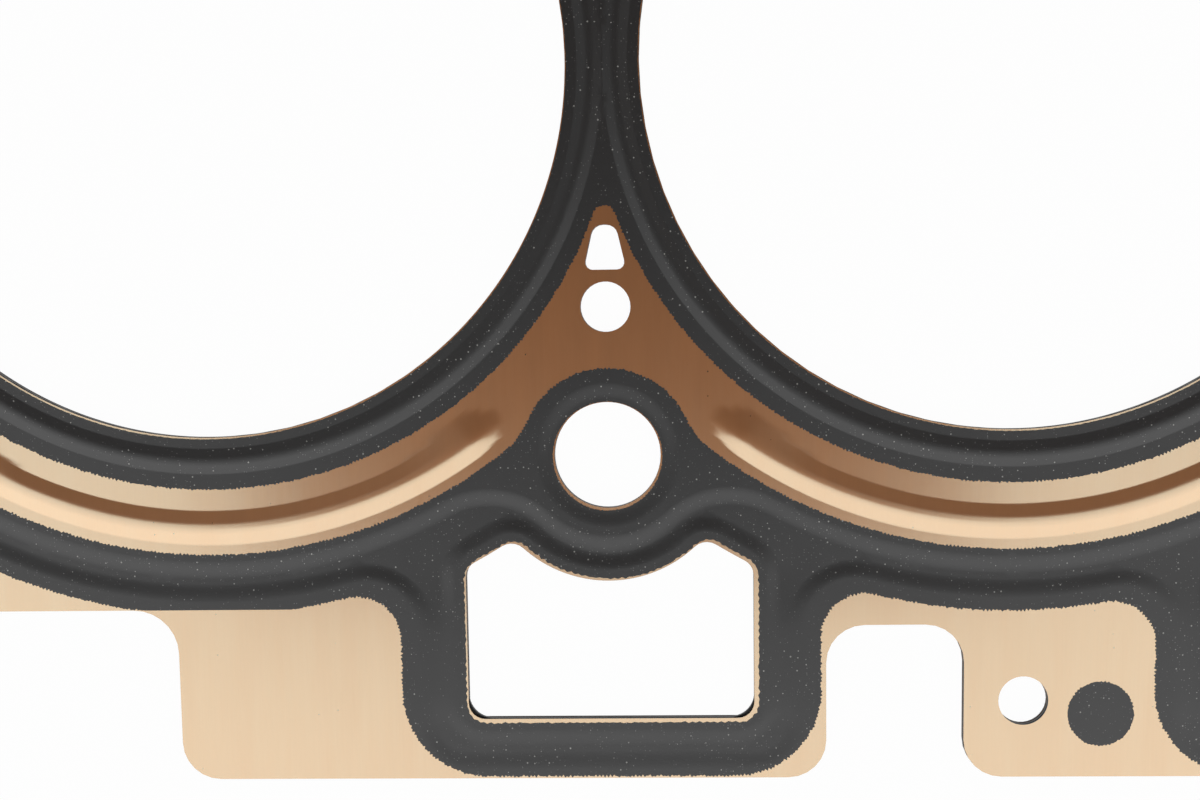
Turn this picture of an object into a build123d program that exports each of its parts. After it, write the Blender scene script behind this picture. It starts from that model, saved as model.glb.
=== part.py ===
from build123d import *
import os

os.makedirs("parts", exist_ok=True)

# Multi-layer steel cylinder head gasket for a row of four cylinders, in millimetres.
# The origin is the middle of the head bolt pattern, halfway through the thickness.
# X runs along the row of cylinders, Y across it and Z up through the layers.
# The drain windows and the tabs are on the -Y side.

# Row of cylinders and head bolts
cylinders = 4
bore_pitch = 100.0
bridge_width = 9.0
bolt_line = 48.2
bolt_hole_radius = 6.6

# Layers
sheet_thickness = 0.25
spacer_thickness = 0.5
coat_thickness = 0.03

# Full bead round each bore, and the stopper ring between it and the bore
bead_gap = 1.3
bead_width = 3.4
bead_height = 0.25
stopper_width = 1.1
stopper_thickness = 0.12

# Stiffening ridges in the coolant zone, outside the print that covers the beads
coat_bead_margin = 1.85
ridge_gap = 2.55
ridge_width = 4.6
ridge_height = 0.3
ridge_span = 74.0

# Pressed trough of the outer seal. It runs round the coolant zone, which takes in the head bolts.
coat_ridge_gap = 1.15
zone_coat_overlap = 0.9
zone_bolt_land = 3.55
zone_fillet = 11.8
slope_run = 1.5
trough_width = 5.1
trough_depth = 0.25
trough_window_fillet = 6.3
trough_overrun = 0.05

# Half bead round each bolt hole, as deep as the trough
dish_land = 0.5
dish_run = 1.3

# Coolant slot and hole on each side of each bridge, outside the apex of the bore print
coat_apex_fillet = 1.4
slot_gap = 2.3
slot_length = 5.5
slot_near_width = 2.75
slot_far_width = 5.3
slot_near_fillet = 1.5
slot_far_fillet = 0.9
coolant_hole_gap = 1.45
coolant_hole_radius = 3.1

# Outer edge, with its tabs and notch
edge_beyond_bolts = 19.2
tab_corner_fillet = 4.8
tab_root_fillet = 5.6
left_tab_width = 36.8
right_tab_rim = 8.8
notch_rim = 9.0
notch_step = 2.45

# Oil drain windows
window_reach = 14.25
window_rim = 7.7
shoulder_gap = 3.55
scallop_gap = 0.55
window_top_fillet = 2.2
window_bottom_fillet = 3.0
narrow_window_width = 36.1
wide_window_width = 47.6
window_lip = 0.5
window_slope_run = 2.1
window_seal_side = 6.25
window_seal_bottom = 5.9
window_seal_fillet = 6.0

# Locating hole in the tab, beside the notch
locating_hole_radius = 3.1
locating_hole_inset = 7.4
locating_hole_rise = 9.75

# Printed coating
coat_bolt_land = 4.2
coat_bolt_fillet = 4.5
coat_trough_margin = 1.75
coat_side_margin = 2.1
coat_bottom_margin = 1.55
coat_window_fillet = 10.8
coat_meeting_fillet = 5.5
coat_hole_gap = 0.15
coat_window_gap = 0.45
spot_radius = 4.1
spot_gap = 2.55
spot_step = 9.6
spot_rise = 8.05

# Places along and across the row
row_ends = bore_pitch * cylinders / 2
bore_xs = [bore_pitch * (n + 0.5) - row_ends for n in range(cylinders)]
bolt_xs = [bore_pitch * n - row_ends for n in range(cylinders + 1)]
bridge_xs = bolt_xs[1:-1]
bore_spots = [(x, 0) for x in bore_xs]
bolt_spots = [(x, side * bolt_line) for x in bolt_xs for side in (-1, 1)]
bridge_sides = [(x, side) for x in bridge_xs for side in (-1, 1)]
windows = [(bridge_xs[1], narrow_window_width), (bridge_xs[2], wide_window_width)]

# Rings round each bore, from the bore outwards
bore_radius = (bore_pitch - bridge_width) / 2
bead_inner_radius = bore_radius + bead_gap
coat_bore_radius = bead_inner_radius + bead_width + coat_bead_margin
ridge_inner_radius = coat_bore_radius + ridge_gap
coat_zone_radius = ridge_inner_radius + ridge_width + coat_ridge_gap
zone_radius = coat_zone_radius + zone_coat_overlap
window_shoulder_radius = zone_radius + trough_width + shoulder_gap

# Rings round each bolt hole
dish_radius = bolt_hole_radius + dish_land + dish_run
zone_bolt_radius = bolt_hole_radius + zone_bolt_land
coat_bolt_radius = bolt_hole_radius + coat_bolt_land
window_bolt_radius = zone_bolt_radius + trough_width + scallop_gap

# Coolant slots and holes, measured from the row's centre line
coat_apex = ((coat_bore_radius + coat_apex_fillet) ** 2 - (bore_pitch / 2) ** 2) ** 0.5 - coat_apex_fillet
slot_near = coat_apex + slot_gap
slot_far = slot_near + slot_length
coolant_hole_distance = slot_far + coolant_hole_gap + coolant_hole_radius

# Edges, measured from the row's centre line or from the middle of the row
plain_edge = bolt_line + edge_beyond_bolts
window_bottom = plain_edge + window_reach
tab_bottom = window_bottom + window_rim
notch_top = plain_edge + notch_step
tab_left = narrow_window_width / 2 + left_tab_width
tab_right = windows[1][0] + wide_window_width / 2 + right_tab_rim
notch_left = narrow_window_width / 2 + notch_rim
wide_window_coat = windows[1][0] - wide_window_width / 2 - window_seal_side - coat_side_margin
spot_x = wide_window_coat - spot_gap - spot_radius
spot_y = tab_bottom - spot_rise
locating_hole_x = spot_x - spot_step
locating_hole_y = tab_bottom - locating_hole_rise
notch_right = locating_hole_x - locating_hole_inset

# Heights of the layers
spacer_top = spacer_thickness / 2
upper_base = spacer_top + trough_depth
upper_face = upper_base + sheet_thickness


def zone_outline(growth):
    """The coolant zone with the head bolts, its edge moved outwards by the growth."""
    with BuildSketch(mode=Mode.PRIVATE) as field:
        with Locations(*bore_spots):
            Circle(zone_radius + growth)
        with Locations(*[(x, 0) for x in bridge_xs]):
            Rectangle(zone_bolt_radius, 2 * bolt_line)
        with Locations(*bolt_spots):
            Circle(zone_bolt_radius + growth)
        fillet(field.vertices(), zone_fillet - growth)
    return field.sketch


def window_outline(x, width, growth):
    """A drain window whose top follows the bores and the bolt hole, its edge moved outwards by the growth."""
    height = window_bottom + growth - bolt_line
    with BuildSketch(mode=Mode.PRIVATE) as opening:
        with Locations((x, -bolt_line - height / 2)):
            Rectangle(width + 2 * growth, height)
        with Locations((x - bore_pitch / 2, 0), (x + bore_pitch / 2, 0)):
            Circle(window_shoulder_radius - growth, mode=Mode.SUBTRACT)
        with Locations((x, -bolt_line)):
            Circle(window_bolt_radius - growth, mode=Mode.SUBTRACT)
        fillet(opening.vertices().group_by(Axis.Y)[0], window_bottom_fillet + growth)
        top_corners = opening.vertices().filter_by_position(
            Axis.Y, -window_bottom + 2 * window_bottom_fillet, -bolt_line
        )
        fillet(top_corners, window_top_fillet + growth)
    return opening.sketch


def window_surround(x, width, side, below, corner):
    """The rounded field round a drain window, up to the bolt line."""
    height = window_bottom + below - bolt_line
    with BuildSketch(mode=Mode.PRIVATE) as surround:
        with Locations((x, -window_bottom - below + height / 2)):
            Rectangle(width + 2 * side, height)
        fillet(surround.vertices().group_by(Axis.Y)[0], corner)
    return surround.sketch


def seal_outline(growth, side, below, corner, meeting):
    """The grown coolant zone with a surround round each drain window, blended where they meet."""
    with BuildSketch(mode=Mode.PRIVATE) as joined:
        add(zone_outline(growth))
        for x, width in windows:
            add(window_surround(x, width, side, below, corner))
        for x, width in windows:
            for edge in (x - width / 2 - side, x + width / 2 + side):
                meeting_point = joined.vertices().sort_by_distance((edge, -plain_edge))[0]
                fillet(meeting_point, meeting)
    return joined.sketch


def arc_profile(inner_radius, width, height):
    """The flat arc of a pressed bead, standing on its own base line."""
    with BuildSketch(Plane.XZ, mode=Mode.PRIVATE) as profile:
        with BuildLine():
            crest = (inner_radius + width / 2, height)
            ThreePointArc((inner_radius, 0), crest, (inner_radius + width, 0))
            Line((inner_radius + width, 0), (inner_radius, 0))
        make_face()
    return profile.sketch


# Outline of every layer, with its tabs
with BuildSketch() as blank:
    Rectangle(2 * (row_ends + edge_beyond_bolts), 2 * plain_edge)
    fillet(blank.vertices(), edge_beyond_bolts)
    with Locations((-tab_left, -tab_bottom)):
        Rectangle(tab_left + tab_right, tab_bottom, align=(Align.MIN, Align.MIN))
    with Locations((notch_left, -notch_top)):
        Rectangle(notch_right - notch_left, tab_bottom, align=(Align.MIN, Align.MAX), mode=Mode.SUBTRACT)
    for root in ((-tab_left, -plain_edge), (tab_right, -plain_edge)):
        fillet(blank.vertices().sort_by_distance(root)[0], tab_root_fillet)
    for corner in ((-tab_left, -tab_bottom), (notch_left, -tab_bottom), (notch_left, -notch_top),
                   (notch_right, -notch_top), (notch_right, -tab_bottom), (tab_right, -tab_bottom)):
        fillet(blank.vertices().sort_by_distance(corner)[0], tab_corner_fillet)

# Openings that go through every layer
with BuildSketch() as openings:
    with Locations(*bore_spots):
        Circle(bore_radius)
    with Locations(*bolt_spots):
        Circle(bolt_hole_radius)
    for x, side in bridge_sides:
        with Locations((x, side * coolant_hole_distance)):
            Circle(coolant_hole_radius)
        with BuildSketch(mode=Mode.PRIVATE) as slot:
            Polygon(
                (x - slot_near_width / 2, side * slot_near),
                (x + slot_near_width / 2, side * slot_near),
                (x + slot_far_width / 2, side * slot_far),
                (x - slot_far_width / 2, side * slot_far),
                align=None,
            )
            fillet(slot.vertices().sort_by_distance((x, 0))[:2], slot_near_fillet)
            fillet(slot.vertices().sort_by_distance((x, side * bolt_line))[:2], slot_far_fillet)
        add(slot.sketch)
    for x, width in windows:
        add(window_outline(x, width, 0))
    with Locations((locating_hole_x, -locating_hole_y)):
        Circle(locating_hole_radius)

# Full bead round a bore, centred on the bore
with BuildPart() as bore_bead:
    revolve(arc_profile(bead_inner_radius, bead_width, bead_height), axis=Axis.Z)

# Round end of a stiffening ridge: half a shallow dome
dome_radius = (ridge_width**2 / 4 + ridge_height**2) / (2 * ridge_height)
with BuildPart() as ridge_end:
    with BuildSketch(Plane.XZ):
        with BuildLine():
            RadiusArc((0, ridge_height), (ridge_width / 2, 0), dome_radius)
            Polyline((ridge_width / 2, 0), (0, 0), (0, ridge_height))
        make_face()
    revolve(axis=Axis.Z, revolution_arc=180)

# Stiffening ridge below a bore, centred on the bore
with BuildPart() as ridge:
    first_angle = -90 - ridge_span / 2
    crest_radius = ridge_inner_radius + ridge_width / 2
    revolve(arc_profile(ridge_inner_radius, ridge_width, ridge_height), axis=Axis.Z, revolution_arc=ridge_span)
    with PolarLocations(crest_radius, 1, start_angle=ridge_span):
        add(ridge_end.part)
    with PolarLocations(crest_radius, 1):
        add(ridge_end.part, rotation=(0, 0, 180))

# Everything that stands up from the sheet, on the sheet's face at height zero
with BuildPart() as raised:
    with Locations(*bore_spots):
        add(bore_bead.part)
    with Locations(*bore_spots):
        add(ridge.part, rotation=(0, 0, first_angle))
        add(ridge.part, rotation=(0, 0, first_angle + 180))

# Trough of the outer seal, sunk below the sheet's face at height zero. Its banks slope on past the face.
bank_rise_share = trough_overrun / trough_depth
bank_over = slope_run * bank_rise_share
window_bank_over = window_slope_run * bank_rise_share
with BuildPart() as trough:
    with BuildSketch(Plane.XY.offset(-trough_depth)):
        add(seal_outline(trough_width + bank_over, window_seal_side + bank_over, window_seal_bottom + bank_over,
                         window_seal_fillet + bank_over, trough_window_fillet - bank_over))
        add(zone_outline(-bank_over), mode=Mode.SUBTRACT)
        for x, width in windows:
            add(window_outline(x, width, window_lip - window_bank_over), mode=Mode.SUBTRACT)
    extrude(amount=trough_depth + 2 * trough_overrun)
    rise = trough_depth + trough_overrun
    floor = trough.faces().sort_by(Axis.Z)[0]
    lips = floor.inner_wires().sort_by(SortBy.LENGTH)[:len(windows)]
    chamfer(lips.edges(), length=window_slope_run + window_bank_over, length2=rise, reference=floor)
    floor = trough.faces().sort_by(Axis.Z)[0]
    banks = floor.inner_wires().sort_by(SortBy.LENGTH)[-1].edges() + floor.outer_wire().edges()
    chamfer(banks, length=slope_run + bank_over, length2=rise, reference=floor)
    with Locations(*[(x, y, -trough_depth) for x, y in bolt_spots]):
        Cone(dish_radius - dish_run, dish_radius + dish_run * bank_rise_share, rise,
             align=(Align.CENTER, Align.CENTER, Align.MIN))

# Block whose top, at height zero, is the pressed surface of a sheet
with BuildPart() as pressed:
    with BuildSketch():
        Rectangle(2 * (row_ends + bolt_line), 2 * tab_bottom + bolt_line)
    extrude(amount=-upper_face)
    add(raised.part)
    add(trough.part, mode=Mode.SUBTRACT)

# Coolant zone with the print's bolt hole discs left out: inside this edge the metal is bare
with BuildSketch() as bare_zone:
    with Locations(*bore_spots):
        Circle(coat_zone_radius)
    with Locations(*[(x, 0) for x in bridge_xs]):
        Rectangle(coat_bolt_radius, 2 * bolt_line)
    with Locations(*bolt_spots):
        Circle(coat_bolt_radius, mode=Mode.SUBTRACT)
    for spot in bolt_spots:
        fillet(bare_zone.vertices().sort_by_distance(spot)[:2], coat_bolt_fillet)

# Printed area of the outer seal, which stops short of the left tab
with BuildSketch() as seal_print:
    coat_window_side = window_seal_side + coat_side_margin
    coat_window_bottom = window_seal_bottom + coat_bottom_margin
    add(seal_outline(trough_width + coat_trough_margin, coat_window_side, coat_window_bottom,
                     coat_window_fillet, coat_meeting_fillet))
    add(blank.sketch, mode=Mode.INTERSECT)
    with Locations((-tab_left, -plain_edge)):
        left_bare = tab_left - narrow_window_width / 2 - coat_window_side - coat_meeting_fillet
        Rectangle(2 * left_bare, tab_bottom, align=(Align.CENTER, Align.MAX), mode=Mode.SUBTRACT)
    add(bare_zone.sketch, mode=Mode.SUBTRACT)
    with Locations(*bolt_spots):
        Circle(bolt_hole_radius + coat_hole_gap, mode=Mode.SUBTRACT)
    for x, width in windows:
        add(window_outline(x, width, coat_window_gap), mode=Mode.SUBTRACT)

# Printed area round the bores, which covers the beads and joins in the bridges
with BuildSketch() as bore_print:
    with Locations(*bore_spots):
        Circle(coat_bore_radius)
    for x in bridge_xs:
        fillet(bore_print.vertices().sort_by_distance((x, 0))[:2], coat_apex_fillet)
    with Locations(*bore_spots):
        Circle(bore_radius + coat_hole_gap, mode=Mode.SUBTRACT)


def pressed_layer(area, bottom, thickness):
    """A layer of even thickness that follows the pressed surface wherever the area covers it."""
    with BuildPart(mode=Mode.PRIVATE) as layer:
        with BuildSketch():
            add(area)
        extrude(amount=2 * upper_face)
        with Locations((0, 0, bottom + thickness)):
            add(pressed.part, mode=Mode.INTERSECT)
        with Locations((0, 0, bottom)):
            add(pressed.part, mode=Mode.SUBTRACT)
    return layer.part


# Upper sheet, with the ridges pressed up and the trough pressed down
with BuildSketch() as sheet_area:
    add(blank.sketch)
    add(openings.sketch, mode=Mode.SUBTRACT)
with BuildPart() as upper_sheet:
    add(pressed_layer(sheet_area.sketch, upper_base, sheet_thickness))
upper_sheet.part.label = "upper_sheet"
export_step(upper_sheet.part, "parts/upper_sheet.step")

# Coating of the outer seal on the upper sheet
with BuildPart() as upper_seal_coating:
    add(pressed_layer(seal_print.sketch, upper_face, coat_thickness))
upper_seal_coating.part.label = "upper_seal_coating"
export_step(upper_seal_coating.part, "parts/upper_seal_coating.step")

# Coating round the bores on the upper sheet
with BuildPart() as upper_bore_coating:
    add(pressed_layer(bore_print.sketch, upper_face, coat_thickness))
upper_bore_coating.part.label = "upper_bore_coating"
export_step(upper_bore_coating.part, "parts/upper_bore_coating.step")

# Round printed spot beside the locating hole, on the upper sheet alone
with BuildPart() as tab_spot:
    with BuildSketch(Plane.XY.offset(upper_face)):
        with Locations((spot_x, -spot_y)):
            Circle(spot_radius)
    extrude(amount=coat_thickness)
tab_spot.part.label = "tab_spot"
export_step(tab_spot.part, "parts/tab_spot.step")

# Flat middle sheet, which sets the gasket's thickness
with BuildPart() as spacer_sheet:
    with BuildSketch():
        add(sheet_area.sketch)
    extrude(amount=spacer_top, both=True)
spacer_sheet.part.label = "spacer_sheet"
export_step(spacer_sheet.part, "parts/spacer_sheet.step")

# Stopper rings, which keep the beads from being pressed flat
for number, spot in enumerate(bore_spots, start=1):
    with BuildPart() as stopper:
        with BuildSketch(Plane.XY.offset(spacer_top)):
            with Locations(spot):
                Circle(bore_radius + stopper_width)
                Circle(bore_radius, mode=Mode.SUBTRACT)
        extrude(amount=stopper_thickness)
    stopper.part.label = f"stopper_ring_{number}"
    export_step(stopper.part, f"parts/stopper_ring_{number}.step")

# Lower sheet: the upper sheet's mirror image below the spacer
with BuildPart() as lower_sheet:
    mirror(upper_sheet.part, about=Plane.XY)
lower_sheet.part.label = "lower_sheet"
export_step(lower_sheet.part, "parts/lower_sheet.step")

# Coatings on the underside, which match those on the upper sheet
with BuildPart() as lower_seal_coating:
    mirror(upper_seal_coating.part, about=Plane.XY)
lower_seal_coating.part.label = "lower_seal_coating"
export_step(lower_seal_coating.part, "parts/lower_seal_coating.step")
with BuildPart() as lower_bore_coating:
    mirror(upper_bore_coating.part, about=Plane.XY)
lower_bore_coating.part.label = "lower_bore_coating"
export_step(lower_bore_coating.part, "parts/lower_bore_coating.step")
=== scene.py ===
import math
import bpy
import numpy as np
from mathutils import Euler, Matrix
from mathutils.geometry import delaunay_2d_cdt


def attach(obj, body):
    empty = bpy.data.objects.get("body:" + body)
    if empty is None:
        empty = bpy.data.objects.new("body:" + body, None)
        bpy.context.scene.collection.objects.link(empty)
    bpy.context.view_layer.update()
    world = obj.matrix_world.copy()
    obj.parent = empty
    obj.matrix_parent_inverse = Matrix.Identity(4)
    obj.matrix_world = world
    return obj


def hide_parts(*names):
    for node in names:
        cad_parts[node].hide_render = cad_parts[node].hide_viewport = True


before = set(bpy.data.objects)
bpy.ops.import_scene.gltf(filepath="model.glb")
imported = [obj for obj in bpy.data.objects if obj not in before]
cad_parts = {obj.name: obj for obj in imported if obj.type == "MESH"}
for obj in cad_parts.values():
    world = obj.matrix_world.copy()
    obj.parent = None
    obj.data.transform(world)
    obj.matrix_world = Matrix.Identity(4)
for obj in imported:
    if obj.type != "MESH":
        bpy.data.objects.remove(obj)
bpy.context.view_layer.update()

# The gasket's sizes, in metres, nearly all as in the solids. Fitted closer to the photograph here are the
# pressed forms' section, the round of the windows' lower corners, and the print's gaps, slip and roundings.
mm = 0.001
cylinders = 4
bore_pitch = 100 * mm
bore_radius = 45.5 * mm
bolt_line = 48.2 * mm
bolt_hole_radius = 6.6 * mm

# Layers
sheet_thickness = 0.25 * mm
spacer_thickness = 0.5 * mm
coat_thickness = 0.03 * mm

# The bead round each bore and the ridges in the coolant zone. A ridge's inner flank spreads towards its ends.
bead_inner_radius = 46.8 * mm
bead_width = 3.4 * mm
bead_height = 0.25 * mm
ridge_inner_radius = 54.6 * mm
ridge_width = 4.6 * mm
ridge_height = 0.3 * mm
ridge_half_span = math.radians(40.4)
ridge_taper = 5.5 * mm
ridge_spread = 0.6
ridge_spread_run = 10 * mm

# The coolant zone, the pressed trough round it and the dish round each bolt hole
zone_radius = 61.25 * mm
zone_bolt_radius = 10.15 * mm
zone_fillet = 11.8 * mm
trough_width = 5.25 * mm
trough_depth = 0.25 * mm
trough_window_fillet = 6.3 * mm
bank_start = -0.15 * mm
bank_run = 2.4 * mm
dish_radius = 9.1 * mm
dish_run = 2.2 * mm
dish_depth = 0.15 * mm

# Coolant slots and holes
slot_near = 19.8 * mm
slot_far = 25.3 * mm
slot_near_width = 2.75 * mm
slot_far_width = 5.3 * mm
slot_near_fillet = 1.5 * mm
slot_far_fillet = 0.9 * mm
coolant_hole_distance = 29.85 * mm
coolant_hole_radius = 3.1 * mm

# The blank's edge, with its tabs and notch, and the locating hole
plain_edge = 67.4 * mm
end_edge = 219.2 * mm
end_fillet = 19.2 * mm
tab_bottom = 89.35 * mm
tab_left = 54.85 * mm
tab_right = 132.6 * mm
tab_fillet = 4.8 * mm
tab_root_fillet = 5.6 * mm
notch_left = 27.05 * mm
notch_right = 44.2 * mm
notch_top = 69.85 * mm
locating_hole = (51.6 * mm, -79.6 * mm)
locating_hole_radius = 3.1 * mm

# Drain windows, and the trough round them: it loses most of its depth beside them and gets some back below
window_bottom = 81.65 * mm
window_shoulder_radius = 69.9 * mm
window_bolt_radius = 15.8 * mm
window_top_fillet = 2.2 * mm
window_bottom_fillet = 2.1 * mm
window_lip = 1.3 * mm
window_bank_run = 2.2 * mm
window_ease = 0.85
window_ease_start = 62 * mm
window_ease_run = 9 * mm
lower_ease = 0.3
lower_ease_start = 79 * mm
lower_ease_run = 4 * mm
window_seal_side = 6.25 * mm
window_seal_bottom = 6.55 * mm
window_seal_fillet = 6.0 * mm

# The print
coat_bore_radius = 52.05 * mm
coat_zone_radius = 60.35 * mm
coat_bolt_radius = 10.8 * mm
coat_bolt_fillet = 9.0 * mm
coat_apex_fillet = 1.4 * mm
coat_band_width = 6.85 * mm
coat_window_side = 8.35 * mm
coat_window_bottom = 7.45 * mm
coat_window_fillet = 10.8 * mm
coat_meeting_fillet = 5.5 * mm
coat_hole_gap = 0.21 * mm
bore_coat_gap = 0.12 * mm
coat_window_gap = 0.40 * mm
coat_left_end = -31.9 * mm
spot = (61.2 * mm, -81.3 * mm)
spot_radius = 4.1 * mm

# The print lies a little off on the sheet, so a thin crescent of metal shows beside each hole
print_slip = 0.15 * mm
bore_print_slip = 0.08 * mm
window_print_slip = np.array([0.2, -0.12]) * mm

spacer_top = spacer_thickness / 2
upper_base = spacer_top + trough_depth
upper_face = upper_base + sheet_thickness
floor_height = -upper_face - ridge_height

row_ends = bore_pitch * cylinders / 2
bore_xs = [bore_pitch * (n + 0.5) - row_ends for n in range(cylinders)]
bolt_xs = [bore_pitch * n - row_ends for n in range(cylinders + 1)]
bridge_xs = bolt_xs[1:-1]
bolts = [(x, side * bolt_line) for x in bolt_xs for side in (-1, 1)]
windows = [(bridge_xs[1], 36.1 * mm), (bridge_xs[2], 47.6 * mm)]

# Distance between neighbouring points along the blank and the beads, holes, dishes and the print's edges
edge_step = 1.45 * mm
hole_step = 0.4 * edge_step
dish_step = 0.5 * edge_step
print_step = 0.23 * mm
long_print_step = 2 * print_step

# The print's edge is ragged: the furthest that its teeth reach to each side
bore_teeth = 0.18 * mm
bore_hole_teeth = 0.04 * mm
seal_teeth = 0.21 * mm
bare_teeth = 0.18 * mm
bolt_hole_teeth = 0.07 * mm
window_teeth = 0.14 * mm
spot_teeth = 0.12 * mm

# Points of the pressed forms that lie nearer to a layer's edge than this take no part in its triangles
sheet_clearance = 0.12 * mm
bore_print_clearance = 0.25 * mm
seal_print_clearance = 0.35 * mm
left_tab_clearance = 0.1 * mm

# How far past its ends a line or an arc still faces a point
end_slack = mm / 100


class Line:
    """A straight edge from one point towards another, with the outline's inside on its left.

    It says how deep a point lies inside it and which way is inwards, and for a stretch of it, between two
    points, how long that is, where its points lie and which points it faces. An arc says the same.
    """

    def __init__(self, start, end):
        self.start = np.array(start, float)
        self.along = np.subtract(end, start) / math.dist(start, end)

    def depth(self, p):
        return self.along[0] * (p[..., 1] - self.start[1]) - self.along[1] * (p[..., 0] - self.start[0])

    def inward(self, p):
        return np.array([-self.along[1], self.along[0]])

    def length(self, start, end):
        return math.dist(start, end)

    def walk(self, start, end, count):
        return start + np.arange(count)[:, None] / count * (end - start)

    def faces(self, p, start, end):
        run = (p - start) @ self.along
        return (run > -end_slack) & (run < self.length(start, end) + end_slack)


class Arc:
    """A circular edge. Its turn is 1 where the circle's inside is the outline's inside, and otherwise -1."""

    def __init__(self, centre, radius, turn=1):
        self.centre = np.array(centre, float)
        self.radius = radius
        self.turn = turn

    def depth(self, p):
        return self.turn * (self.radius - np.hypot(p[..., 0] - self.centre[0], p[..., 1] - self.centre[1]))

    def inward(self, p):
        return self.turn * (self.centre - p) / math.dist(self.centre, p)

    def angle(self, p):
        return np.arctan2(p[..., 1] - self.centre[1], p[..., 0] - self.centre[0])

    def sweep(self, start, end):
        return self.turn * (self.angle(end) - self.angle(start)) % (2 * math.pi) or 2 * math.pi

    def length(self, start, end):
        return self.radius * self.sweep(start, end)

    def walk(self, start, end, count):
        angles = self.angle(start) + self.turn * np.arange(count) / count * self.sweep(start, end)
        return self.centre + self.radius * np.stack([np.cos(angles), np.sin(angles)], 1)

    def faces(self, p, start, end):
        turned = self.turn * (self.angle(p) - self.angle(start)) % (2 * math.pi)
        slack = end_slack / self.radius
        return (turned < self.sweep(start, end) + slack) | (turned > 2 * math.pi - slack)


def meet(a, b, depth, near, steps=20):
    """The point that lies at one depth inside both edges, by Newton's steps from a point near it."""
    p = np.array(near, float)
    for _ in range(steps):
        short = [depth - a.depth(p), depth - b.depth(p)]
        p = p + np.linalg.solve([a.inward(p), b.inward(p)], short)
    return p


class Outline:
    """A closed outline of lines and arcs, walked with its inside on the left and each corner rounded.

    The corner after each edge is given by a point near it and a radius. The rounding arc's centre is the
    point at that radius from both edges, inside the outline where it turns left and outside it elsewhere.
    """

    def __init__(self, edges, corners):
        rounds = []
        for edge, after, (near, radius) in zip(edges, edges[1:] + edges[:1], corners):
            corner = meet(edge, after, 0, near)
            a, b = edge.inward(corner), after.inward(corner)
            turn = 1 if a[0] * b[1] - a[1] * b[0] > 0 else -1
            centre = meet(edge, after, turn * radius, corner + turn * radius * (a + b) / math.hypot(*(a + b)))
            rounds.append((Arc(centre, radius, turn), centre - turn * radius * edge.inward(centre),
                           centre - turn * radius * after.inward(centre)))
        self.stretches = []
        for edge, before, here in zip(edges, rounds[-1:] + rounds[:-1], rounds):
            self.stretches += [(edge, before[2], here[1]), here]

    def points(self, step=edge_step, like=None, fewest=4):
        """Points along the outline. Grown copies walked like one outline keep their points side by side."""
        lengths = [edge.length(start, end) for edge, start, end in (like or self).stretches]
        counts = [max(fewest, math.ceil(length / step)) for length in lengths]
        walks = [edge.walk(start, end, count) for (edge, start, end), count in zip(self.stretches, counts)]
        return np.concatenate(walks)

    def depth(self, p):
        """Distance from the outline, positive inside: that of the nearest stretch which faces the point."""
        nearest = np.full(len(p), np.inf)
        for edge, start, end in self.stretches:
            here = np.where(edge.faces(p, start, end), edge.depth(p), np.inf)
            nearest = np.where(np.abs(here) < np.abs(nearest), here, nearest)
        return nearest


class Ring(Outline):
    """A whole circle."""

    def __init__(self, centre, radius):
        start = np.add(centre, (radius, 0))
        self.stretches = [(Arc(centre, radius), start, start)]


def polygon(corners, radii):
    """A polygon, its corners rounded, walked with its inside on the left."""
    edges = [Line(a, b) for a, b in zip(corners, corners[1:] + corners[:1])]
    return Outline(edges, list(zip(corners[1:] + corners[:1], radii[1:] + radii[:1])))


def row_walk():
    """The bores and the bolts in walking order round the row, from the first bolt of the -Y side."""
    bores = [((x, 0), "bore") for x in bore_xs]
    low = [((x, -bolt_line), "bolt") for x in bolt_xs]
    high = [((x, bolt_line), "bolt") for x in reversed(bolt_xs)]
    walk = [low[0]]
    for bore, bolt in zip(bores, low[1:]):
        walk += [bore, bolt]
    walk += [bores[-1], high[0]]
    for bore, bolt in zip(reversed(bores), high[1:]):
        walk += [bore, bolt]
    return walk + [bores[0]]


def bolt_corner(bolt, radius, first, second):
    """A point near the corner where the outline passes from one circle of the row to the next."""
    along = np.subtract(second, first) / math.dist(first, second)
    outward = np.array([along[1], -along[0]])
    to_bore = along if bolt == first else -along
    ahead, aside = 0.85, 0.5
    return np.add(bolt, radius * (ahead * to_bore + aside * outward))


def row_outline(bore_circle, bolt_circle, bolt_turn, fillet):
    """Circles round the bores and bolts, joined into one outline with its corners rounded."""
    walk = row_walk()
    edges, corners = [], []
    for (spot_a, kind_a), (spot_b, kind_b) in zip(walk, walk[1:] + walk[:1]):
        is_bore = kind_a == "bore"
        edges.append(Arc(spot_a, bore_circle if is_bore else bolt_circle, 1 if is_bore else bolt_turn))
        bolt = spot_b if is_bore else spot_a
        corners.append((bolt_corner(bolt, bolt_circle, spot_a, spot_b), fillet))
    return Outline(edges, corners)


def zone_outline(growth):
    """The coolant zone with the head bolts, its edge moved outwards by the growth."""
    return row_outline(zone_radius + growth, zone_bolt_radius + growth, 1, zone_fillet - growth)


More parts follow.
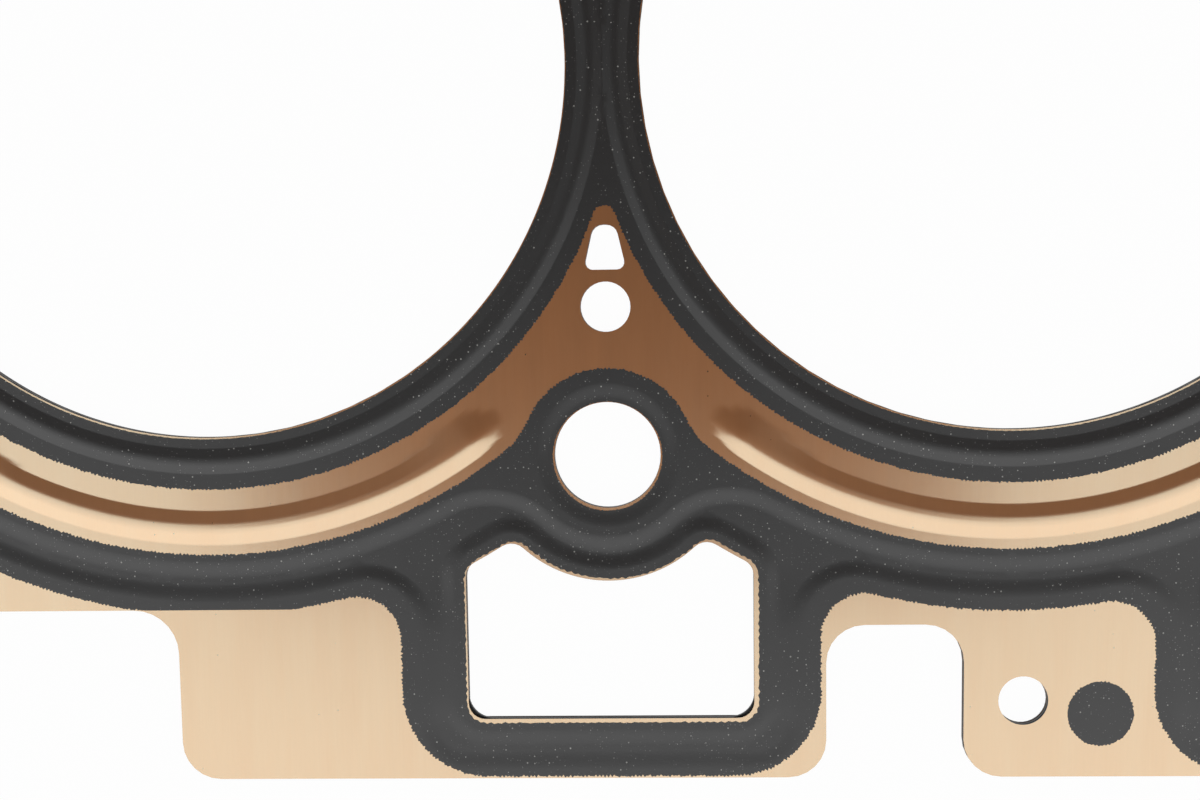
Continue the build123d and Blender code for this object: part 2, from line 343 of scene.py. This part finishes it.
def seal_outline(growth, side, below, corner, meeting):
    """The grown coolant zone with a rounded field round each drain window, blended where they meet."""
    walk = row_walk()
    edges, corners = [], []
    bore_circle, bolt_circle = zone_radius + growth, zone_bolt_radius + growth
    bottom = -window_bottom - below
    fields = {(x, -bolt_line): (x - width / 2 - side, x + width / 2 + side) for x, width in windows}
    for (spot_a, kind_a), (spot_b, kind_b) in zip(walk, walk[1:] + walk[:1]):
        if spot_a in fields:
            left, right = fields[spot_a]
            edges += [Line((left, 0), (left, bottom)), Line((left, bottom), (right, bottom)),
                      Line((right, bottom), (right, 0))]
            corners += [((left, bottom), corner), ((right, bottom), corner), ((right, -plain_edge), meeting)]
            continue
        edges.append(Arc(spot_a, bore_circle if kind_a == "bore" else bolt_circle))
        if spot_b in fields:
            corners.append(((fields[spot_b][0], -plain_edge), meeting))
        else:
            bolt = spot_b if kind_a == "bore" else spot_a
            corners.append((bolt_corner(bolt, bolt_circle, spot_a, spot_b), zone_fillet - growth))
    return Outline(edges, corners)


def window_outline(x, width, growth):
    """A drain window whose top follows the bores and the bolt hole, its edge moved outwards by the growth."""
    left, right, bottom = x - width / 2 - growth, x + width / 2 + growth, -window_bottom - growth
    shoulder, scallop = window_shoulder_radius - growth, window_bolt_radius - growth
    edges = [
        Line((left, bottom), (right, bottom)),
        Line((right, bottom), (right, 0)),
        Arc((x + bore_pitch / 2, 0), shoulder, -1),
        Arc((x, -bolt_line), scallop, -1),
        Arc((x - bore_pitch / 2, 0), shoulder, -1),
        Line((left, 0), (left, bottom)),
    ]
    rise = math.sqrt(shoulder**2 - (bore_pitch / 2 - width / 2 - growth) ** 2)
    top, low = window_top_fillet + growth, window_bottom_fillet + growth
    aside, below = 0.8 * scallop, 0.65 * scallop
    corners = [
        ((right, bottom), low),
        ((right, -rise), top),
        ((x + aside, -bolt_line - below), top),
        ((x - aside, -bolt_line - below), top),
        ((left, -rise), top),
        ((left, bottom), low),
    ]
    return Outline(edges, corners)


def slot_outline(x, side):
    """The coolant slot of one bridge, a trapezoid that widens away from the row's centre line."""
    near, far = side * slot_near, side * slot_far
    corners = [(x - slot_far_width / 2, far), (x + slot_far_width / 2, far),
               (x + slot_near_width / 2, near), (x - slot_near_width / 2, near)]
    radii = [slot_far_fillet, slot_far_fillet, slot_near_fillet, slot_near_fillet]
    return polygon(corners[::-side], radii[::-side])


def bore_print_outline():
    """Circles round the bores, joined, with a small round where two of them meet."""
    walk = bore_xs + bore_xs[-2:0:-1]
    edges = [Arc((x, 0), coat_bore_radius) for x in walk]
    apex = math.sqrt(coat_bore_radius**2 - (bore_pitch / 2) ** 2)
    corners = [((a + b) / 2, apex * (-1 if b > a else 1)) for a, b in zip(walk, walk[1:] + walk[:1])]
    return Outline(edges, [(corner, coat_apex_fillet) for corner in corners])


# Outlines of the sheets and of the pressed surface
blank = polygon(
    [(-end_edge, -plain_edge), (-tab_left, -plain_edge), (-tab_left, -tab_bottom),
     (notch_left, -tab_bottom), (notch_left, -notch_top), (notch_right, -notch_top),
     (notch_right, -tab_bottom), (tab_right, -tab_bottom), (tab_right, -plain_edge),
     (end_edge, -plain_edge), (end_edge, plain_edge), (-end_edge, plain_edge)],
    [end_fillet, tab_root_fillet] + [tab_fillet] * 6 + [tab_root_fillet] + [end_fillet] * 3,
)
holes = [Ring((x, 0), bore_radius) for x in bore_xs]
holes += [Ring(bolt, bolt_hole_radius) for bolt in bolts]
holes += [Ring((x, side * coolant_hole_distance), coolant_hole_radius) for x in bridge_xs for side in (-1, 1)]
holes += [slot_outline(x, side) for x in bridge_xs for side in (-1, 1)]
holes += [window_outline(x, width, 0) for x, width in windows]
holes += [Ring(locating_hole, locating_hole_radius)]

trough_inside = zone_outline(bank_start)
trough_outside = seal_outline(trough_width, window_seal_side, window_seal_bottom, window_seal_fillet,
                              trough_window_fillet)
window_lips = [window_outline(x, width, window_lip) for x, width in windows]


def bank(t):
    """A slope from 0 to 1 as t goes from 0 to 1, level at both ends: 3t squared less 2t cubed."""
    t = np.clip(t, 0, 1)
    return t * t * (3 - 2 * t)


def tent(t):
    """A bead's section, 1 at its crest and 0 at its feet, where t is 1 or -1.

    The flank is straight, 1 - slope * (t - crest / 2). A parabola rounds the crest, out to t = crest, and
    another rounds the foot, from t = 1 - foot.
    """
    crest, foot = 0.36, 0.12
    slope = 1 / (1 - crest / 2 - foot / 2)
    t = np.clip(np.abs(t), 0, 1)
    over = 1 - slope * t**2 / (2 * crest)
    flank = 1 - slope * (t - crest / 2)
    end = slope * (1 - t) ** 2 / (2 * foot)
    return np.where(t < crest, over, np.where(t > 1 - foot, end, flank))


def relief(p):
    """Height of the pressed surface over the sheet's flat face: beads and ridges up, trough and dishes down.

    A bead's height at a distance from its crest is tent(distance / half the width). A ridge's end is half an
    ellipse: past the start of its taper, the way along counts with the way across. The trough's depth is the
    least of the banks at its two sides and round the windows. A dish is a bank that falls towards its bolt.
    """
    beads = np.zeros(len(p))
    ridges = np.zeros(len(p))
    bead_crest = bead_inner_radius + bead_width / 2
    ridge_crest = ridge_inner_radius + ridge_width / 2
    taper_start = ridge_half_span * ridge_crest - ridge_taper
    for x in bore_xs:
        across, along = p[:, 0] - x, p[:, 1]
        reach = np.hypot(across, along)
        beads = np.maximum(beads, tent((reach - bead_crest) / (bead_width / 2)))
        past = np.abs(np.arctan2(across, np.abs(along))) * ridge_crest - taper_start
        inner = reach < ridge_crest
        spread = 1 + ridge_spread * bank((past + ridge_spread_run) / ridge_spread_run) * inner
        off = np.hypot((reach - ridge_crest) / (ridge_width / 2 * spread), np.maximum(past, 0) / ridge_taper)
        ridges = np.maximum(ridges, tent(off))
    banks = [bank(-trough_inside.depth(p) / bank_run), bank(trough_outside.depth(p) / bank_run)]
    banks += [bank(-lip.depth(p) / window_bank_run) for lip in window_lips]
    lost = window_ease * bank((-p[:, 1] - window_ease_start) / window_ease_run)
    regained = lower_ease * bank((-p[:, 1] - lower_ease_start) / lower_ease_run)
    trough = np.minimum.reduce(banks) * (1 - lost + regained)
    dishes = np.zeros(len(p))
    for x, y in bolts:
        dishes = np.maximum(dishes, bank((dish_radius - np.hypot(p[:, 0] - x, p[:, 1] - y)) / dish_run))
    return bead_height * beads + ridge_height * ridges - trough_depth * trough - dish_depth * dishes


def relief_normals(p):
    """Unit normals of the pressed surface, from its height a little to each side."""
    aside = mm / 50
    east, north = np.array([aside, 0]), np.array([0, aside])
    slope_x = (relief(p + east) - relief(p - east)) / (2 * aside)
    slope_y = (relief(p + north) - relief(p - north)) / (2 * aside)
    normals = np.stack([-slope_x, -slope_y, np.ones(len(p))], 1)
    return normals / np.linalg.norm(normals, axis=1, keepdims=True)


def relief_rows():
    """Points along every bead, ridge, bank and dish: the profile's stations carried along its path."""
    rows = []
    bead_stations = (-0.3, -0.15, 0, 0.03, 0.06, 0.14, 0.23, 0.32, 0.38, 0.44,
                     0.5, 0.56, 0.62, 0.68, 0.77, 0.86, 0.94, 0.97, 1)
    bank_stations = (0, 0.12, 0.25, 0.4, 0.6, 0.75, 0.88, 1)
    beyond_ridge = 2 * mm
    span = ridge_half_span + beyond_ridge / ridge_inner_radius
    lean = np.linspace(-span, span, math.ceil(2 * span * ridge_inner_radius / edge_step))
    for x in bore_xs:
        bead = Ring((x, 0), bead_inner_radius)
        for share in bead_stations:
            rows.append(Ring((x, 0), bead_inner_radius + share * bead_width).points(like=bead))
            reach = ridge_inner_radius + share * ridge_width
            for side in (-1, 1):
                rows.append(np.stack([x + reach * np.sin(lean), side * reach * np.cos(lean)], 1))
    zone = zone_outline(0)
    for share in bank_stations:
        run = share * bank_run
        rows.append(zone_outline(bank_start + run).points(like=zone))
        shrunk = seal_outline(trough_width - run, window_seal_side - run, window_seal_bottom - run,
                              window_seal_fillet - run, trough_window_fillet + run)
        rows.append(shrunk.points(like=trough_outside))
        for (x, width), lip in zip(windows, window_lips):
            rows.append(window_outline(x, width, window_lip + share * window_bank_run).points(like=lip))
        for bolt in bolts:
            dish = Ring(bolt, dish_radius)
            rows.append(Ring(bolt, dish_radius - share * dish_run).points(dish_step, dish))
    return np.concatenate(rows)


def ragged(loop, tooth, seed):
    """A loop with the print's teeth: one point is moved out and the next one in, by uneven amounts."""
    rng = np.random.default_rng(seed)
    least = -0.1
    along = np.roll(loop, -1, 0) - np.roll(loop, 1, 0)
    normal = np.stack([along[:, 1], -along[:, 0]], 1) / np.hypot(*along.T)[:, None]
    sides = np.where(np.arange(len(loop)) % 2, -1, 1)
    return loop + normal * (tooth * sides * rng.uniform(least, 1, len(loop)))[:, None]


def clip_to_blank(loop):
    """The print's edge, kept on the sheet and above the left tab."""
    beside = (loop[:, 0] < coat_left_end) | (loop[:, 0] > tab_right)
    low = np.where(beside, -plain_edge, -tab_bottom)
    return np.stack([loop[:, 0], np.clip(loop[:, 1], low, plain_edge)], 1)


def within(loops, p):
    """Whether each point lies inside an odd number of the loops, from the edges counted on its left."""
    order = np.argsort(p[:, 1])
    heights = p[order, 1]
    start = np.concatenate(loops)
    end = np.concatenate([np.roll(loop, -1, 0) for loop in loops])
    first = np.searchsorted(heights, np.minimum(start[:, 1], end[:, 1]))
    count = np.searchsorted(heights, np.maximum(start[:, 1], end[:, 1])) - first
    edge = np.repeat(np.arange(len(start)), count)
    point = order[np.arange(count.sum()) + np.repeat(first - np.cumsum(count) + count, count)]
    share = (p[point, 1] - start[edge, 1]) / (end[edge, 1] - start[edge, 1])
    left = start[edge, 0] + share * (end[edge, 0] - start[edge, 0]) < p[point, 0]
    return np.bincount(point[left], minlength=len(p)) % 2 == 1


def sheet_plan(loops, rows=None, flat=False):
    """The area inside the first loop less the others, as triangles between the loops' points and the rows.

    Returns the points, the triangles, the edges along the loops, and each point's height and normal.
    """
    starts = np.cumsum([0] + [len(loop) for loop in loops])
    rims = [np.stack([np.arange(a, b), np.roll(np.arange(a, b), -1)], 1) for a, b in zip(starts, starts[1:])]
    points = np.concatenate(loops if rows is None else loops + [rows])
    every_triangle, closeness = 0, 1e-6
    edges = np.concatenate(rims).tolist()
    cut = delaunay_2d_cdt((points / mm).tolist(), edges, [], every_triangle, closeness, False)
    p = np.array([tuple(v) for v in cut[0]]) * mm
    tris = np.array(cut[2])
    tris = tris[within(loops, p[tris].mean(1))]
    a, b, c = p[tris[:, 0]], p[tris[:, 1]], p[tris[:, 2]]
    turned = (b[:, 0] - a[:, 0]) * (c[:, 1] - a[:, 1]) - (b[:, 1] - a[:, 1]) * (c[:, 0] - a[:, 0]) < 0
    tris[turned] = tris[turned][:, ::-1]
    used, tris = np.unique(tris, return_inverse=True)
    p, tris = p[used], tris.reshape(-1, 3)
    sides = np.concatenate([tris[:, [0, 1]], tris[:, [1, 2]], tris[:, [2, 0]]])
    keys = sides[:, 0] * len(p) + sides[:, 1]
    rim = sides[~np.isin(sides[:, 1] * len(p) + sides[:, 0], keys)]
    if flat:
        return p, tris, rim, np.zeros(len(p)), np.tile([0.0, 0.0, 1.0], (len(p), 1))
    return p, tris, rim, relief(p), relief_normals(p)


def layer(name, plan, bottom, top, mirrored=False, wall_slot=0):
    """A layer over a plan, from one height to another above the pressed surface.

    Its upper and lower faces are the plan lifted to the surface's height, and a wall joins them along every
    edge. A mirrored layer is the same one below the middle plane. The wall slot is the walls' material.
    """
    p, tris, rim, height, up = plan
    verts = np.concatenate([np.column_stack([p, height + top]), np.column_stack([p, height + bottom])])
    along = p[rim[:, 1]] - p[rim[:, 0]]
    out = np.column_stack([along[:, 1], -along[:, 0], np.zeros(len(rim))])
    out /= np.linalg.norm(out, axis=1, keepdims=True)

    walls = np.column_stack([rim + len(p), rim[:, ::-1]])
    corners = np.concatenate([tris.ravel(), tris[:, ::-1].ravel() + len(p), walls.ravel()])
    sizes = np.concatenate([np.full(2 * len(tris), 3), np.full(len(walls), 4)])
    normals = np.concatenate([up[tris.ravel()], -up[tris[:, ::-1].ravel()], np.repeat(out, 4, 0)])
    if mirrored:
        verts[:, 2] *= -1
        normals[:, 2] *= -1
        order = np.concatenate([np.arange(6 * len(tris)).reshape(-1, 3)[:, ::-1].ravel(),
                                np.arange(6 * len(tris), len(corners)).reshape(-1, 4)[:, ::-1].ravel()])
        corners, normals = corners[order], normals[order]

    mesh = bpy.data.meshes.new(name)
    mesh.vertices.add(len(verts))
    mesh.vertices.foreach_set("co", verts.astype(np.float32).ravel())
    mesh.loops.add(len(corners))
    mesh.loops.foreach_set("vertex_index", corners.astype(np.int32))
    mesh.polygons.add(len(sizes))
    mesh.polygons.foreach_set("loop_start", np.cumsum(np.concatenate([[0], sizes[:-1]])).astype(np.int32))
    mesh.polygons.foreach_set("use_smooth", np.ones(len(sizes), bool))
    mesh.polygons.foreach_set("material_index", np.where(sizes == 4, wall_slot, 0).astype(np.int32))
    mesh.update(calc_edges=True)
    mesh.normals_split_custom_set(normals)
    piece = bpy.data.objects.new(name, mesh)
    bpy.context.scene.collection.objects.link(piece)
    return piece


class Wire:
    """A shader socket that can be added, multiplied and so on. Each step adds one Math node."""

    def __init__(self, tree, socket):
        self.tree, self.socket = tree, socket

    def math(self, operation, *values):
        inputs = dict(enumerate(values))
        return make_node(self.tree, "ShaderNodeMath", {"operation": operation}, inputs)["Value"]

    def __add__(self, other):
        return self.math("ADD", self, other)

    def __mul__(self, other):
        return self.math("MULTIPLY", self, other)

    def __gt__(self, other):
        return self.math("GREATER_THAN", self, other)

    def __lt__(self, other):
        return self.math("LESS_THAN", self, other)

    __radd__ = __add__
    __rmul__ = __mul__


def make_node(tree, kind, settings, inputs):
    """A node, its settings made first, then its sockets' values or links. Returns its outputs by name."""
    node = tree.nodes.new(kind)
    for key, value in settings.items():
        setattr(node, key, value)
    for key, value in inputs.items():
        if isinstance(value, Wire):
            tree.links.new(value.socket, node.inputs[key])
        else:
            node.inputs[key].default_value = value
    return {output.name: Wire(tree, output) for output in node.outputs if output.enabled}


class Finish:
    """A material whose pattern is measured in millimetres on the piece's own Object coordinates."""

    def __init__(self, name):
        self.material = bpy.data.materials.new(name)
        self.material.use_nodes = True
        self.tree = self.material.node_tree
        self.tree.nodes.clear()
        place = {0: self.node("ShaderNodeTexCoord")["Object"], "Scale": 1 / mm}
        self.place = self.node("ShaderNodeVectorMath", {"operation": "SCALE"}, place)["Vector"]

    def node(self, kind, settings={}, inputs={}):
        return make_node(self.tree, kind, settings, inputs)

    def stretched(self, across, along):
        """Object coordinates shrunk across X and along Y, so that a pattern on them is drawn out along Y."""
        factors = {0: self.place, 1: (across, along, 1)}
        return self.node("ShaderNodeVectorMath", {"operation": "MULTIPLY"}, factors)["Vector"]

    def noise(self, vector, scale, detail=2.0, roughness=0.5):
        inputs = {"Vector": vector, "Scale": scale, "Detail": detail, "Roughness": roughness}
        return self.node("ShaderNodeTexNoise", {}, inputs)["Fac"]

    def specks(self, cell, size, share):
        """1 inside small round specks of at most the size, in a share of a flat Voronoi pattern's cells."""
        pattern = {"Vector": self.place, "Scale": 1 / cell}
        cells = self.node("ShaderNodeTexVoronoi", {"voronoi_dimensions": "2D"}, pattern)
        lot = self.node("ShaderNodeSeparateColor", {}, {"Color": cells["Color"]})
        return (cells["Distance"] < lot["Green"] * (size / cell)) * (lot["Red"] < share)

    def blend(self, factor, first, second):
        return self.node("ShaderNodeMix", {"data_type": "RGBA"}, {0: factor, 6: first, 7: second})["Result"]

    def bump(self, height, strength, distance):
        inputs = {"Height": height, "Strength": strength, "Distance": distance}
        return self.node("ShaderNodeBump", {}, inputs)["Normal"]

    def shade(self, shader):
        self.node("ShaderNodeOutputMaterial", {}, {"Surface": shader})
        return self.material


def bronze_sheet():
    """Spring steel with a bronze tint: a pale gold sheen over a rougher brown one, rolling lines along Y."""
    f = Finish("bronze_sheet")
    grain = f.noise(f.stretched(1, 0.02), 6.0, 3.0, 0.6)
    broad = f.noise(f.stretched(1, 0.15), 0.12, 2.0)
    streaks = f.noise(f.stretched(1, 0.12), 0.45, 3.0, 0.6)
    pits = f.specks(2.5, 0.13, 0.12)
    brown = f.blend(grain, (0.76, 0.285, 0.098, 1), (0.82, 0.32, 0.115, 1))
    brown = f.blend(pits * 0.7, brown, (0.25, 0.10, 0.04, 1))
    gold = f.blend(grain, (0.85, 0.86, 0.64, 1), (0.90, 0.91, 0.70, 1))
    normal = f.bump(grain, 0.06, 0.05 * mm)
    under, sheen = [
        f.node("ShaderNodeBsdfPrincipled", {"distribution": "GGX"}, {
            "Base Color": colour, "Metallic": 1.0, "Roughness": roughness, "Normal": normal})["BSDF"]
        for colour, roughness in ((brown, 0.49), (gold, 0.16 + 0.04 * grain))
    ]
    share = 0.43 + 0.04 * grain * broad + 0.09 * streaks
    return f.shade(f.node("ShaderNodeMixShader", {}, {0: share, 1: under, 2: sheen})["Shader"])


def steel_and_painted_shade(name, base):
    """Greys about the base for the inner layers and every punched edge; on the spacer and the punched edges
    the near-black base is painted shade.
    """
    f = Finish(name)
    grain = f.noise(f.stretched(1, 0.02), 5.0, 3.0, 0.6)
    darkest, palest = 0.8 * base, 1.2 * base
    tint = f.blend(grain, (darkest, darkest, darkest, 1), (palest, palest, palest, 1))
    shader = f.node("ShaderNodeBsdfPrincipled", {}, {
        "Base Color": tint, "Metallic": 0.0, "Roughness": 0.45 + 0.1 * grain})["BSDF"]
    return f.shade(shader)


def black_coating():
    """Screen-printed rubber coating: matt near-black with a fine grain and a scatter of pale dust specks."""
    f = Finish("black_coating")
    grain = f.noise(f.place, 7.0, 3.0, 0.6)
    cloud = f.noise(f.place, 0.11, 3.0, 0.6)
    dust = f.specks(0.9, 0.10, 0.40) * (cloud > 0.45)
    fine = f.specks(0.30, 0.075, 0.30 * cloud)
    tint = f.blend(grain, (0.003, 0.003, 0.0033, 1), (0.0085, 0.0085, 0.009, 1))
    tint = f.blend(fine, tint, (0.11, 0.11, 0.105, 1))
    tint = f.blend(dust, tint, (0.34, 0.34, 0.32, 1))
    shader = f.node("ShaderNodeBsdfPrincipled", {}, {
        "Base Color": tint, "Roughness": 0.38 + 0.06 * grain, "Specular IOR Level": 1.0, "IOR": 1.5,
        "Normal": f.bump(grain, 0.3, 0.04 * mm)})["BSDF"]
    return f.shade(shader)


def dress(piece, node, slot, *finishes):
    """Gives a piece its finishes, and lets it stand for its solid."""
    for finish in finishes:
        piece.data.materials.append(finish)
    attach(piece, "root")
    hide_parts(node)


def dress_pair(name, solid, plan, bottom, top, slot, *finishes):
    """The layer over a plan as the upper piece and, mirrored, the lower one. Walls take the last finish."""
    for side, mirrored in (("upper", False), ("lower", True)):
        piece = layer(f"{side}_{name}", plan, bottom, top, mirrored, len(finishes) - 1)
        dress(piece, f"{side}_{solid}", slot, *finishes)


def repaint(name, finish):
    """Gives a solid that stays its own finish."""
    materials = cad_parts[name].data.materials
    materials.clear()
    materials.append(finish)


coat_top = upper_face + coat_thickness
bronze = bronze_sheet()
black = black_coating()
# The punched edges are near-black: painted shade for the shadow in the cut walls of the sheets.
cut_edge_painted_shade = steel_and_painted_shade("punched_edge_painted_shade", 0.015)

# The pressed sheets, one the mirror image of the other
loops = [blank.points()] + [hole.points(hole_step) for hole in holes]
rows = relief_rows()
room = np.minimum.reduce([blank.depth(rows)] + [-hole.depth(rows) for hole in holes])
plan = sheet_plan(loops, rows[room > sheet_clearance])
dress_pair("sheet_metal", "sheet", plan, upper_base, upper_face, "bronze_steel", bronze, cut_edge_painted_shade)

# The print round the bores
bore_field = bore_print_outline()
bore_holes = [Ring((x, -bore_print_slip), bore_radius + bore_coat_gap) for x in bore_xs]
loops = [ragged(bore_field.points(print_step), bore_teeth, seed=1)]
loops += [ragged(hole.points(long_print_step), bore_hole_teeth, seed=2 + n)
          for n, hole in enumerate(bore_holes)]
room = np.minimum.reduce([bore_field.depth(rows)] + [-hole.depth(rows) for hole in bore_holes])
plan = sheet_plan(loops, rows[room > bore_print_clearance])
dress_pair("bore_print", "bore_coating", plan, upper_face, coat_top, "black_coating", black)

# The print of the outer seal
seal_field = seal_outline(coat_band_width, coat_window_side, coat_window_bottom, coat_window_fillet,
                          coat_meeting_fillet)
bare_field = row_outline(coat_zone_radius, coat_bolt_radius, -1, coat_bolt_fillet)
seal_holes = [Ring((x, y - print_slip), bolt_hole_radius + coat_hole_gap) for x, y in bolts]
seal_windows = [window_outline(x, width, coat_window_gap) for x, width in windows]
loops = [clip_to_blank(ragged(seal_field.points(print_step), seal_teeth, seed=11)),
         ragged(bare_field.points(print_step), bare_teeth, seed=12)]
loops += [ragged(hole.points(print_step), bolt_hole_teeth, seed=20 + n) for n, hole in enumerate(seal_holes)]
loops += [ragged(hole.points(long_print_step), window_teeth, seed=40 + n) + window_print_slip
          for n, hole in enumerate(seal_windows)]
room = np.minimum.reduce([seal_field.depth(rows), blank.depth(rows), -bare_field.depth(rows)]
                         + [-hole.depth(rows) for hole in seal_holes + seal_windows])
above_tab = (rows[:, 1] > -plain_edge + left_tab_clearance) | (rows[:, 0] > coat_left_end)
plan = sheet_plan(loops, rows[(room > seal_print_clearance) & above_tab])
dress_pair("seal_print", "seal_coating", plan, upper_face, coat_top, "black_coating", black)

# The spot on the tab
plan = sheet_plan([ragged(Ring(spot, spot_radius).points(print_step), spot_teeth, seed=60)], flat=True)
dress(layer("tab_spot_print", plan, upper_face, coat_top), "tab_spot", "black_coating", black)

# The solids of the plain layers stay, in their own finishes; the spacer's near-black is painted shade for the
# gap between the sheets.
repaint("spacer_sheet", steel_and_painted_shade("spacer_steel", 0.015))
stopper_steel = steel_and_painted_shade("stopper_steel", 0.08)
for n in range(cylinders):
    repaint(f"stopper_ring_{n + 1}", stopper_steel)

# A pale cove: a level floor that curves up into a wall all round
cove_radius = 2.2
cove_bend = 0.8
cove_wall = 1.6
cove_bend_steps = 24
cove_turn_steps = 96


def cove():
    """A profile turned round Z: level out to the bend, a quarter circle up, then a plain wall."""
    angles = np.linspace(0, math.pi / 2, cove_bend_steps)
    reach = np.concatenate([[0.0], cove_radius + cove_bend * np.sin(angles), [cove_radius + cove_bend]])
    rise = np.concatenate([[0.0], cove_bend * (1 - np.cos(angles)), [cove_bend + cove_wall]])
    turn = np.linspace(0, 2 * math.pi, cove_turn_steps, endpoint=False)
    verts = np.stack([np.outer(np.cos(turn), reach), np.outer(np.sin(turn), reach),
                      np.tile(floor_height + rise, (len(turn), 1))], -1).reshape(-1, 3)
    n, m = len(turn), len(reach)
    i, j = np.meshgrid(np.arange(n), np.arange(m - 1), indexing="ij")
    here, beside = i * m + j, (i + 1) % n * m + j
    quads = np.stack([here, here + 1, beside + 1, beside], -1).reshape(-1, 4)
    mesh = bpy.data.meshes.new("cove")
    mesh.from_pydata(verts.tolist(), [], quads.tolist())
    mesh.polygons.foreach_set("use_smooth", np.ones(len(quads), bool))
    piece = bpy.data.objects.new("cove", mesh)
    bpy.context.scene.collection.objects.link(piece)
    return piece


def pale_floor():
    """White that keeps a soft shadow: rays that look at it see it lit evenly, mixed with its own shading."""
    f = Finish("pale_floor")
    rays = f.node("ShaderNodeLightPath")
    seen = rays["Is Camera Ray"].math("MAXIMUM", rays["Is Camera Ray"], rays["Is Glossy Ray"])
    seen = seen.math("MAXIMUM", seen, rays["Is Transmission Ray"])
    shaded = f.node("ShaderNodeBsdfDiffuse", {}, {"Color": (0.8, 0.8, 0.8, 1)})["BSDF"]
    even = f.node("ShaderNodeEmission", {}, {"Color": (1, 1, 1, 1), "Strength": 1.0})["Emission"]
    return f.shade(f.node("ShaderNodeMixShader", {}, {0: seen * 0.975, 1: shaded, 2: even})["Shader"])


ground = cove()
ground.data.materials.append(pale_floor())

# Soft light: a sky that is brightest low down, a large softbox in front, one to each side and a dim warm card
world = bpy.data.worlds.new("studio")
bpy.context.scene.world = world
world.use_nodes = True
world.node_tree.nodes.clear()
direction = make_node(world.node_tree, "ShaderNodeTexCoord", {}, {})["Generated"]
height = make_node(world.node_tree, "ShaderNodeSeparateXYZ", {}, {"Vector": direction})["Z"]
fall = {"Value": height, "From Min": 0.3, "From Max": 1.0, "To Min": 0.75, "To Max": 0.02}
fade = make_node(world.node_tree, "ShaderNodeMapRange", {"interpolation_type": "SMOOTHSTEP"}, fall)["Result"]
glow = {"Color": (1, 1, 1, 1), "Strength": fade}
sky = make_node(world.node_tree, "ShaderNodeBackground", {}, glow)["Background"]
make_node(world.node_tree, "ShaderNodeOutputWorld", {}, {"Surface": sky})


def softbox(name, place, size, strength, colour=(1, 1, 1)):
    """A rectangular softbox facing down. Its strength is what a mirror would show of it, where 1 is white."""
    lamp = bpy.data.lights.new(name, "AREA")
    lamp.shape = "RECTANGLE"
    lamp.size, lamp.size_y = size
    lamp.energy = strength * math.pi * size[0] * size[1]
    lamp.color = colour
    piece = bpy.data.objects.new(name, lamp)
    piece.location = place
    bpy.context.scene.collection.objects.link(piece)


softbox("front_softbox", (-0.03, -0.662, 0.6), (1.6, 1.0), 1.11)
softbox("left_softbox", (-0.56, -0.12, 0.6), (0.7, 0.16), 1.12)
softbox("right_softbox", (0.53, -0.12, 0.6), (0.75, 0.16), 1.08)
softbox("warm_card", (0.12, 0.15, 0.6), (0.8, 0.14), 0.13, (1, 0.45, 0.22))

# The camera looks down on the part of the gasket that the photograph shows, turned by these degrees
camera_place = (9.31 * mm, -27.93 * mm, 200 * mm + upper_face)
camera_turn = (-5.988, 1.997, -0.792)
lens = bpy.data.cameras.new("camera")
lens.sensor_width = 36
lens.lens = 48.60
lens.shift_x = -0.02
lens.shift_y = 0.05
lens.clip_start = 0.01
lens.clip_end = 50
camera = bpy.data.objects.new("camera", lens)
camera.location = camera_place
camera.rotation_euler = Euler([math.radians(angle) for angle in camera_turn])
bpy.context.scene.collection.objects.link(camera)
bpy.context.scene.camera = camera
bpy.context.scene.view_settings.view_transform = "Standard"
